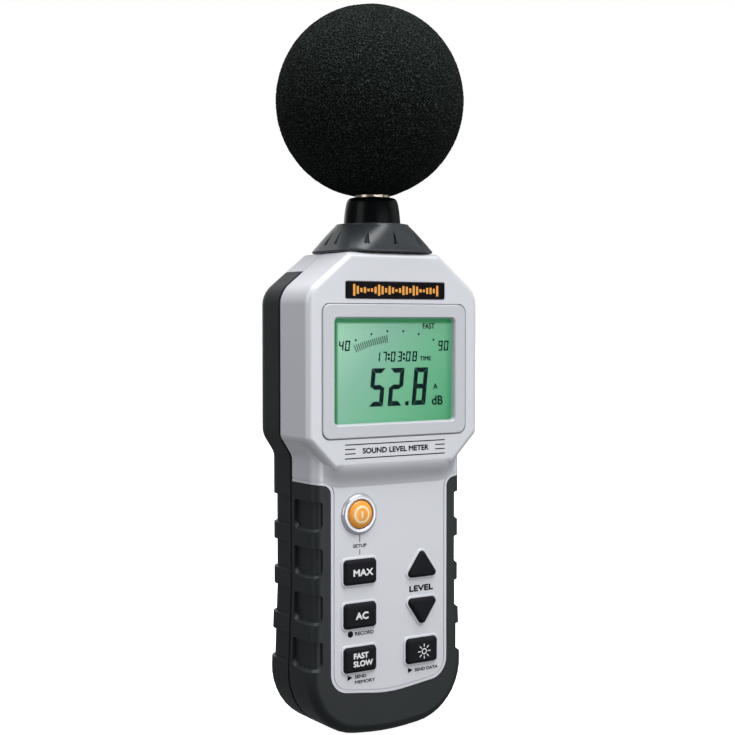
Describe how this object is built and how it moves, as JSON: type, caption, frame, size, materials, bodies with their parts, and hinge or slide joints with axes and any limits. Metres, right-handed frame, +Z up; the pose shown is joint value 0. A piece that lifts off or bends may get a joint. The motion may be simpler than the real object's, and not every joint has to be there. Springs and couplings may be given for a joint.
{
  "type": "sound level meter",
  "caption": "Slim handheld sound level meter with a round foam windscreen on its microphone, a green display, a power button, keys and rubber grips.",
  "frame": {"origin": "lowest point of the case, below the microphone's axis", "axes": "+Z up along the microphone's axis, -Y out of the front with the display and keys, +X to the right as seen from the front"},
  "size_m": [0.078, 0.0728, 0.28],
  "materials": {
    "black_plastic": "black plastic, semi-gloss",
    "board_green": "green solder resist",
    "brass": "plain brass",
    "chrome_ring": "bright metal plating",
    "clear_lens": "clear glossy window",
    "collar_plastic": "dark grey plastic, fine texture",
    "grip_rubber": "soft black moulded-on rubber, matt",
    "key_rubber": "black silicone rubber, fine grain",
    "lcd_green": "green lit liquid-crystal display",
    "orange_button": "translucent orange plastic, satin",
    "pale_bezel": "light silver-grey plastic, satin",
    "red_wire": "red wire insulation",
    "silver_shell": "silver-grey painted plastic, satin",
    "steel": "plain steel",
    "white_plastic": "white plastic",
    "windscreen_foam": "open-cell black foam"
  },
  "bodies": {
    "case": {"front_shell": "silver_shell", "rear_shell": "silver_shell", "front_grip_rubber": "grip_rubber", "rear_grip_rubber": "grip_rubber", "display_bezel": "pale_bezel", "display_lens": "clear_lens", "lcd_panel": "lcd_green", "lcd_holder": "white_plastic", "lcd_backlight": "white_plastic", "zebra_strip_top": "key_rubber", "zebra_strip_bottom": "key_rubber", "name_plate": "black_plastic", "power_ring": "chrome_ring", "keypad_mat": "key_rubber", "main_board": "board_green", "processor_chip": "black_plastic", "preamplifier_chip": "black_plastic", "crystal_can": "steel", "filter_capacitor_left": "black_plastic", "filter_capacitor_right": "black_plastic", "mic_lead": "black_plastic", "battery": "black_plastic", "battery_snap": "black_plastic", "battery_lead_red": "red_wire", "battery_lead_black": "black_plastic", "tripod_insert": "brass", "collar": "collar_plastic", "neck_boot": "black_plastic", "mic_tube": "steel", "mic_clamp_nut": "brass", "mic_capsule": "steel", "mic_grid": "steel", "case_screw_top_left": "steel", "case_screw_top_right": "steel", "case_screw_bottom_left": "steel", "case_screw_bottom_right": "steel", "board_screw_left": "steel", "board_screw_right": "steel", "board_screw_bottom": "steel"},
    "windscreen": {"windscreen_foam": "windscreen_foam"},
    "power_key": {"power_button": "orange_button"},
    "max_key": {"key_max": "key_rubber"},
    "weighting_key": {"key_weighting": "key_rubber"},
    "response_key": {"key_response": "key_rubber"},
    "backlight_key": {"key_backlight": "key_rubber"},
    "level_up_key": {"key_level_up": "key_rubber"},
    "level_down_key": {"key_level_down": "key_rubber"},
    "battery_door": {"battery_cover": "silver_shell"},
    "battery_door_screw": {"battery_cover_screw": "steel"}
  },
  "joints": [
    {"name": "windscreen_pull", "type": "slide", "parent": "case", "child": "windscreen", "axis": [0, 0, 1], "range_m": [0, 0.04]},
    {"name": "power_key_press", "type": "slide", "parent": "case", "child": "power_key", "axis": [0, 1, 0], "range_m": [0, 0.0009], "stiffness_N_per_m": 800},
    {"name": "max_key_press", "type": "slide", "parent": "case", "child": "max_key", "axis": [0, 1, 0], "range_m": [0, 0.0009], "stiffness_N_per_m": 800},
    {"name": "weighting_key_press", "type": "slide", "parent": "case", "child": "weighting_key", "axis": [0, 1, 0], "range_m": [0, 0.0009], "stiffness_N_per_m": 800},
    {"name": "response_key_press", "type": "slide", "parent": "case", "child": "response_key", "axis": [0, 1, 0], "range_m": [0, 0.0009], "stiffness_N_per_m": 800},
    {"name": "backlight_key_press", "type": "slide", "parent": "case", "child": "backlight_key", "axis": [0, 1, 0], "range_m": [0, 0.0009], "stiffness_N_per_m": 800},
    {"name": "level_up_key_press", "type": "slide", "parent": "case", "child": "level_up_key", "axis": [0, 1, 0], "range_m": [0, 0.0009], "stiffness_N_per_m": 800},
    {"name": "level_down_key_press", "type": "slide", "parent": "case", "child": "level_down_key", "axis": [0, 1, 0], "range_m": [0, 0.0009], "stiffness_N_per_m": 800},
    {"name": "battery_door_lift", "type": "slide", "parent": "case", "child": "battery_door", "axis": [0, 1, 0], "range_m": [0, 0.02]},
    {"name": "battery_door_screw_turn", "type": "hinge", "parent": "battery_door", "child": "battery_door_screw", "pos_m": [0, 0.0235, 0.0736], "axis": [0, 1, 0], "range_deg": [0, 1080]}
  ]
}
